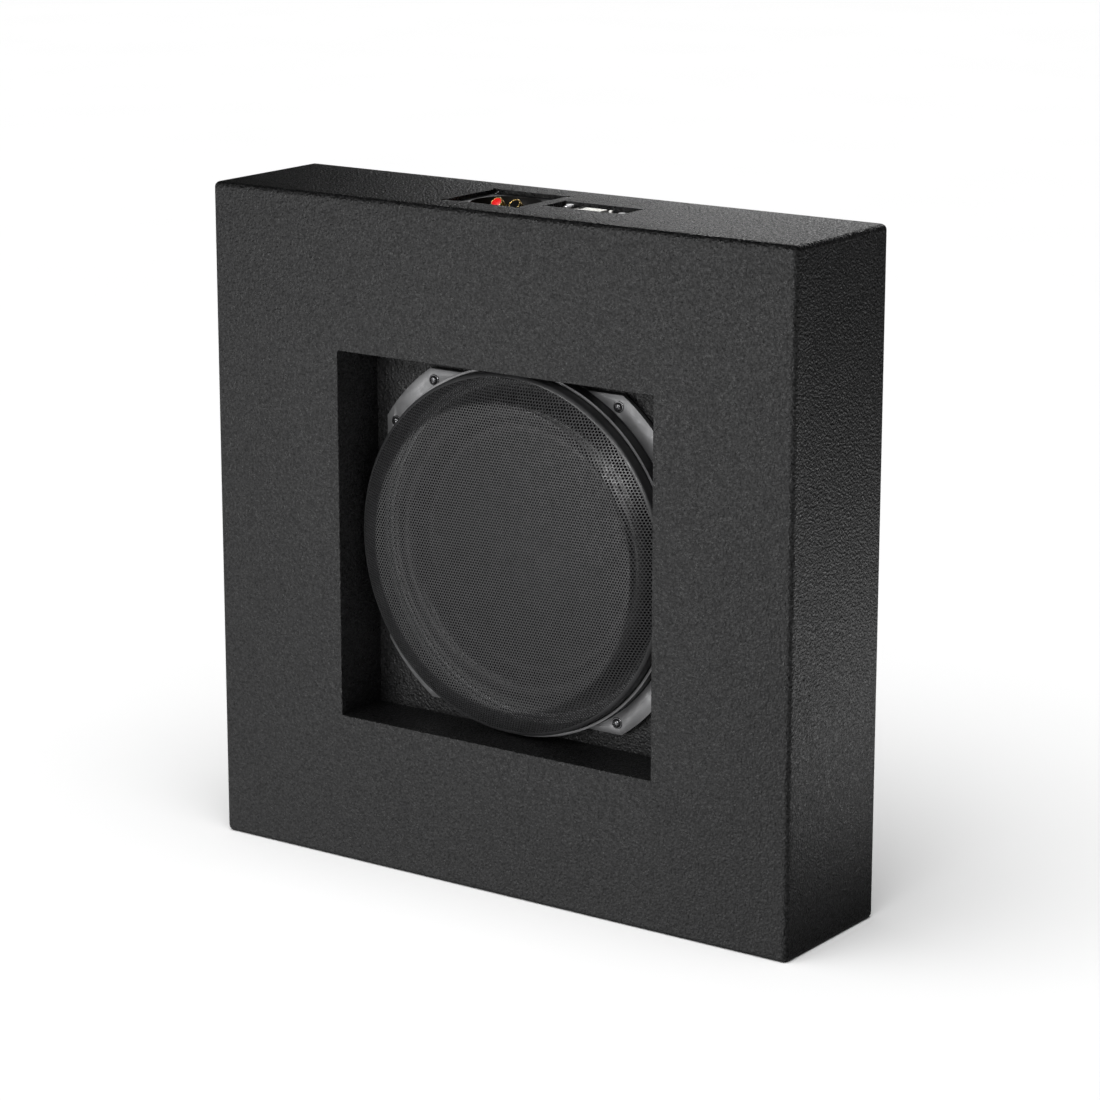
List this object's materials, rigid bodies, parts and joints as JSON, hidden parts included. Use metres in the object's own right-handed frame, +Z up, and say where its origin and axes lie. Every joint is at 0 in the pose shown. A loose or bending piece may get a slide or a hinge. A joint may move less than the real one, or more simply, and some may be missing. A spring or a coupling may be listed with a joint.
{
  "type": "powered car subwoofer",
  "caption": "Shallow square powered subwoofer box with a round-grilled driver set in a deep square recess, and an amplifier panel and terminal cup let into its top.",
  "frame": {"origin": "centre of the underside", "axes": "+Z up, the grille faces -Y, +X to the viewer's right when facing the grille"},
  "size_m": [0.549, 0.129, 0.546],
  "materials": {
    "textured_coat": "pebbled spray-on coating",
    "board": "fibreboard",
    "pad_felt": "soft wadding",
    "frame_steel": "satin dark grey",
    "gasket_foam": "closed-cell foam",
    "cone_paper": "matt black pulp",
    "coil_former": "satin",
    "copper": "bare wire",
    "surround_rubber": "semi-gloss rubber",
    "spider_cloth": "resin-treated cloth",
    "motor_steel": "zinc plated",
    "ferrite": "ground ferrite",
    "black_ring": "satin moulding",
    "grille_steel": "satin black powder coat",
    "black_screw": "black oxide",
    "zinc_steel": "zinc plated",
    "cup_plastic": "moulded",
    "gold_plate": "gold plated",
    "red_plastic": "gloss",
    "black_plastic": "moulded",
    "sink_aluminium": "bead blasted",
    "silver_screw": "bright nickel",
    "knob_plastic": "silver",
    "trimmer_plastic": "light grey",
    "potentiometer_metal": "tin plated",
    "white_nylon": "nylon",
    "light_lens": "tinted",
    "board_green": "solder mask",
    "capacitor_sleeve": "shrink sleeve",
    "inductor_core": "coated powder core",
    "lead_jacket": "flexible jacket"
  },
  "bodies": {
    "root": {"cabinet_coat": "textured_coat", "recess_coat": "textured_coat", "front_panel": "board", "back_panel": "board", "left_panel": "board", "right_panel": "board", "bottom_panel": "board", "top_panel": "board", "well_boards_flat": "board", "well_boards_upright": "board", "baffle": "board", "glue_blocks": "board", "damping_pads": "pad_felt", "driver_frame": "frame_steel", "driver_gasket": "gasket_foam", "magnet_boot": "gasket_foam", "tinsel_leads": "copper", "surround": "surround_rubber", "spider": "spider_cloth", "top_plate": "motor_steel", "yoke": "motor_steel", "magnet_ring": "ferrite", "grille_ring": "black_ring", "grille_mesh": "grille_steel", "driver_screws": "black_screw", "cup_screws": "black_screw", "t_nuts": "zinc_steel", "amp_brackets": "zinc_steel", "stand_offs": "zinc_steel", "terminal_strip": "zinc_steel", "terminal_cup": "cup_plastic", "binding_posts": "gold_plate", "phase_switch": "black_plastic", "output_terminals": "black_plastic", "amp_control_panel": "black_plastic", "power_transistors": "black_plastic", "amp_heat_sink": "sink_aluminium", "amp_cover": "sink_aluminium", "panel_screws": "silver_screw", "potentiometers": "potentiometer_metal", "harness_socket": "white_nylon", "power_light": "light_lens", "circuit_board": "board_green", "capacitors": "capacitor_sleeve", "output_inductor": "inductor_core", "speaker_leads": "lead_jacket", "amp_leads": "lead_jacket"},
    "cone_assembly": {"cone": "cone_paper", "dust_cap": "cone_paper", "voice_coil_former": "coil_former", "voice_coil": "copper"},
    "red_washer": {"red_post_washer": "gold_plate"},
    "red_nut": {"red_post_nut": "gold_plate", "red_post_insert": "red_plastic"},
    "black_washer": {"black_post_washer": "gold_plate"},
    "black_nut": {"black_post_nut": "gold_plate", "black_post_insert": "black_plastic"},
    "level_knob": {"level_knob": "knob_plastic"},
    "crossover_trimmer": {"crossover_trimmer": "trimmer_plastic"},
    "switch_slider": {"switch_slider": "white_nylon"}
  },
  "joints": [
    {"name": "cone_excursion", "type": "slide", "parent": "root", "child": "cone_assembly", "axis": [0, -1, 0], "range_m": [-0.008, 0.008], "stiffness_N_per_m": 6000, "deforming": ["surround", "spider", "tinsel_leads"]},
    {"name": "red_nut_lift", "type": "slide", "parent": "root", "child": "red_washer", "axis": [0, -0.7071, 0.7071], "range_m": [0, 0.0024]},
    {"name": "red_nut_turn", "type": "hinge", "parent": "red_washer", "child": "red_nut", "pos_m": [-0.0395, 0.00304, 0.53796], "axis": [0, -0.7071, 0.7071], "range_deg": [0, 1080]},
    {"name": "black_nut_lift", "type": "slide", "parent": "root", "child": "black_washer", "axis": [0, -0.7071, 0.7071], "range_m": [0, 0.0024]},
    {"name": "black_nut_turn", "type": "hinge", "parent": "black_washer", "child": "black_nut", "pos_m": [-0.0221, 0.00304, 0.53796], "axis": [0, -0.7071, 0.7071], "range_deg": [0, 1080]},
    {"name": "level_turn", "type": "hinge", "parent": "root", "child": "level_knob", "pos_m": [0.0253, 0.0065, 0.542], "axis": [0, 0, -1], "range_deg": [-140, 140]},
    {"name": "crossover_turn", "type": "hinge", "parent": "root", "child": "crossover_trimmer", "pos_m": [0.0771, 0.0015, 0.542], "axis": [0, 0, -1], "range_deg": [-130, 130]},
    {"name": "phase_slide", "type": "slide", "parent": "root", "child": "switch_slider", "axis": [1, 0, 0], "range_m": [0, 0.003]}
  ],
  "couplings": [
    {"joint": "red_nut_turn", "follows": "red_nut_lift", "rad_per_m": 7854},
    {"joint": "black_nut_turn", "follows": "black_nut_lift", "rad_per_m": 7854}
  ]
}
